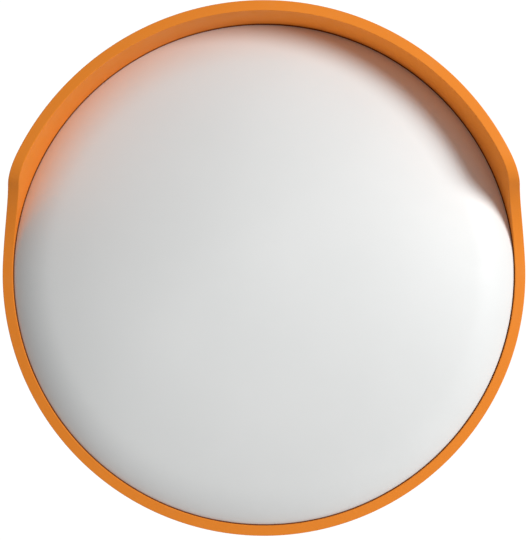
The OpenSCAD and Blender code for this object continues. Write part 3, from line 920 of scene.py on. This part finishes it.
def knuckle_casting():
    """Sand-cast iron under grey paint: grainy, with chips that show the metal."""
    n = Nodes("knuckle_casting", Metallic=0.25, Specular_IOR_Level=0.4)
    drift = n.span(n.noise(45, 5), 0.3, 0.7)
    paint = n.mix(drift, (0.150, 0.158, 0.165), (0.200, 0.208, 0.214))
    chips = n.span(n.noise(150, 6, 0.7), 0.64, 0.68)
    n.color(n.mix(chips, paint, (0.40, 0.38, 0.36)))
    rough = n.span(n.noise(200, 3), 0.3, 0.7, 0.52, 0.68)
    n.roughness(n.math("SUBTRACT", rough, n.math("MULTIPLY", chips, 0.2)))
    n.bump((n.noise(520, 5, 0.65), 1.0, 0.45 * MM), (chips, -0.5, 0.1 * MM))
    return n.material


def zinc_fasteners():
    """Bright zinc plate with a faint yellow and blue cast, dulled in patches."""
    n = Nodes("zinc_fasteners", Metallic=1.0)
    cast = n.span(n.noise(70, 3), 0.35, 0.65)
    base = n.mix(cast, (0.62, 0.62, 0.60), (0.66, 0.63, 0.54))
    dull = n.span(n.noise(180, 5, 0.65), 0.5, 0.72)
    n.color(n.mix(dull, base, (0.42, 0.42, 0.41)))
    rough = n.span(n.noise(500, 2), 0.3, 0.7, 0.22, 0.32)
    n.roughness(n.math("ADD", rough, n.math("MULTIPLY", dull, 0.22)))
    n.bump((n.noise(650, 3), 0.2, 0.05 * MM))
    return n.material


ORANGE = orange_moulding()
MIRROR = mirror_face()
GASKET = gasket_rubber()
STEEL = galvanised_steel()
CASTING = knuckle_casting()
ZINC = zinc_fasteners()

# ---------------------------------------------------------------- building

# Each piece: its mesh, the body it rides on, its slot and material, and the CAD node it replaces
place(build_hood_rim(), "head", "orange_moulding", ORANGE, "hood_rim")
place(build_mirror(), "head", "mirror_face", MIRROR, "mirror_dish")
place(build_gasket(), "head", "gasket_rubber", GASKET, "edge_gasket")
place(build_back_shell(), "head", "orange_moulding", ORANGE, "back_shell")
SOFTENED = [
    ("backing_plate", "inner_plate", 0.4 * MM, "head"),
    ("tilt_bracket", "bracket_plate", 0.7 * MM, "head"),
    ("clamp_front", "front_half", 0.6 * MM, "clamp"),
    ("clamp_rear", "rear_half", 0.6 * MM, "rear_half"),
]
for node, name, edge, body in SOFTENED:
    place(soften(node, name, edge), body, "galvanised_steel", STEEL, node)
place(build_knuckle(), "knuckle", "knuckle_casting", CASTING, "knuckle")
place(build_ear_welds(), "head", "galvanised_steel", STEEL)
place(build_fork_weld(), "clamp", "galvanised_steel", STEEL)

# Bolts have their heads at the low end of the axis, or at its high end where they are flipped
FASTENERS = [
    (put_at("rim_screws", "y", pan_screw), "head"),
    (bolts("plate_bolts", "y", 8, 14 * MM), "head"),
    (washers("plate_washers", "y", 8), "head"),
    (spring_washers("plate_spring_washers", "y", 8), "head"),
    (nuts("plate_nuts", "y", 8), "head"),
    (bolts("tilt_bolt", "x", 12, 26 * MM, flip=True), "knuckle"),
    (washers("tilt_washers", "x", 12), "knuckle"),
    (spring_washers("tilt_spring_washer", "x", 12), "knuckle"),
    (nuts("tilt_nut", "x", 12), "knuckle"),
    (bolts("lock_bolt", "x", 10, 26 * MM, flip=True), "knuckle"),
    (washers("lock_washers", "x", 10), "knuckle"),
    (spring_washers("lock_spring_washer", "x", 10), "knuckle"),
    (nuts("lock_nut", "x", 10), "knuckle"),
    (bolts("pan_bolt", "z", 12, 24 * MM, flip=True), "clamp"),
    (washers("pan_washers", "z", 12), "clamp"),
    (spring_washers("pan_spring_washer", "z", 12), "clamp"),
    (nuts("pan_nut", "z", 12), "clamp"),
    (bolts("clamp_bolts", "y", 8, 24 * MM), "clamp"),
    (washers("clamp_head_washers", "y", 8), "clamp"),
    (washers("clamp_washers", "y", 8), "rear_half"),
    (spring_washers("clamp_spring_washers", "y", 8), "rear_half"),
    (nuts("clamp_nuts", "y", 8), "rear_half"),
]
for piece, body in FASTENERS:
    place(piece, body, "zinc_fasteners", ZINC, piece.name.removesuffix("_set"))

# ---------------------------------------------------------------- floor, light and camera

scene = bpy.context.scene
scene.view_settings.view_transform = "Standard"
scene.view_settings.look = "None"


def studio_world(ambient, backdrop):
    """Even white light, with a brighter white that only the camera sees behind the object."""
    world = bpy.data.worlds.new("studio")
    world.use_nodes = True
    tree = world.node_tree
    light = tree.nodes["Background"]
    light.inputs["Color"].default_value = (1, 1, 1, 1)
    light.inputs["Strength"].default_value = ambient
    white = tree.nodes.new("ShaderNodeBackground")
    white.inputs["Color"].default_value = (1, 1, 1, 1)
    white.inputs["Strength"].default_value = backdrop
    mix = tree.nodes.new("ShaderNodeMixShader")
    path = tree.nodes.new("ShaderNodeLightPath")
    tree.links.new(path.outputs["Is Camera Ray"], mix.inputs[0])
    tree.links.new(light.outputs[0], mix.inputs[1])
    tree.links.new(white.outputs[0], mix.inputs[2])
    tree.links.new(mix.outputs[0], tree.nodes["World Output"].inputs[0])
    return world


def studio_floor(radius, height):
    """Pale disc that fades out towards its edge."""
    floor = lathe("floor", [(0, height), (radius, height)], 96)
    n = Nodes("floor", Roughness=0.9, Emission_Color=(1, 1, 1, 1))
    grain = n.span(n.noise(40, 4), 0.3, 0.7)
    n.color(n.mix(grain, (0.66, 0.66, 0.66), (0.69, 0.69, 0.69)))
    # A glow that only the camera sees makes it look white, and lights nothing from below
    seen = n.add("LightPath").outputs["Is Camera Ray"]
    n.put(n.shader.inputs["Emission Strength"], n.math("MULTIPLY", seen, 0.35))
    distance = n.add("VectorMath", {"operation": "LENGTH"}, Vector=n.stretched(1, 1, 0)).outputs["Value"]
    fade = n.span(distance, 0.45 * radius, 0.98 * radius)
    mix = n.add("MixShader")
    clear = n.add("BsdfTransparent")
    n.put(mix.inputs[0], fade)
    n.put(mix.inputs[1], n.shader.outputs[0])
    n.put(mix.inputs[2], clear.outputs[0])
    n.put(n.tree.nodes["Material Output"].inputs[0], mix.outputs[0])
    floor.data.materials.append(n.material)


def add_light(kind, name, position, target, power, **settings):
    """Light aimed at a target, with its power in watts."""
    data = bpy.data.lights.new(name, kind)
    data.energy = power
    for key, value in settings.items():
        setattr(data, key, value)
    light = bpy.data.objects.new(name, data)
    light.location = position
    light.rotation_euler = (Vector(target) - Vector(position)).to_track_quat("-Z", "Y").to_euler()
    scene.collection.objects.link(light)


def softbox(name, position, target, size, power):
    """Round, even light of a given diameter."""
    add_light("AREA", name, position, target, power, shape="DISK", size=size)


HEAD = Vector((0, FACE_Y, 0))
scene.world = studio_world(0.28, 1.05)
studio_floor(1.2, -0.75)
softbox("key", HEAD + Vector((1.82, -1.81, 0.53)), HEAD, 1.2, 57)
softbox("back_left", (-1.1, 1.5, 1.0), (0, -0.1, 0), 1.2, 24)
softbox("back_right", (1.4, 1.2, 0.2), (0, -0.1, 0), 1.0, 12)

# A soft spot from the lower left front, which reaches only the right part of the hood's inner wall
UNDER_HOOD = Vector((0.15, -0.25, 0.26))
add_light(
    "SPOT", "hood_spot", UNDER_HOOD + Vector((-0.63, -0.30, -0.92)), UNDER_HOOD, 9.5,
    shadow_soft_size=0.12, spot_size=math.radians(26), spot_blend=1.0,
)

# The photograph is taken from just above the mirror's middle, looking slightly down
CAMERA_DROP_DEG = 1.10
camera_data = bpy.data.cameras.new("camera")
camera_data.lens = 70.47
camera_data.sensor_width = 36
camera = bpy.data.objects.new("camera", camera_data)
camera.location = HEAD + Vector((0.0018, -1.262, 0.0311))
camera.rotation_euler = (math.radians(90 - CAMERA_DROP_DEG), 0, 0)
scene.collection.objects.link(camera)
scene.camera = camera
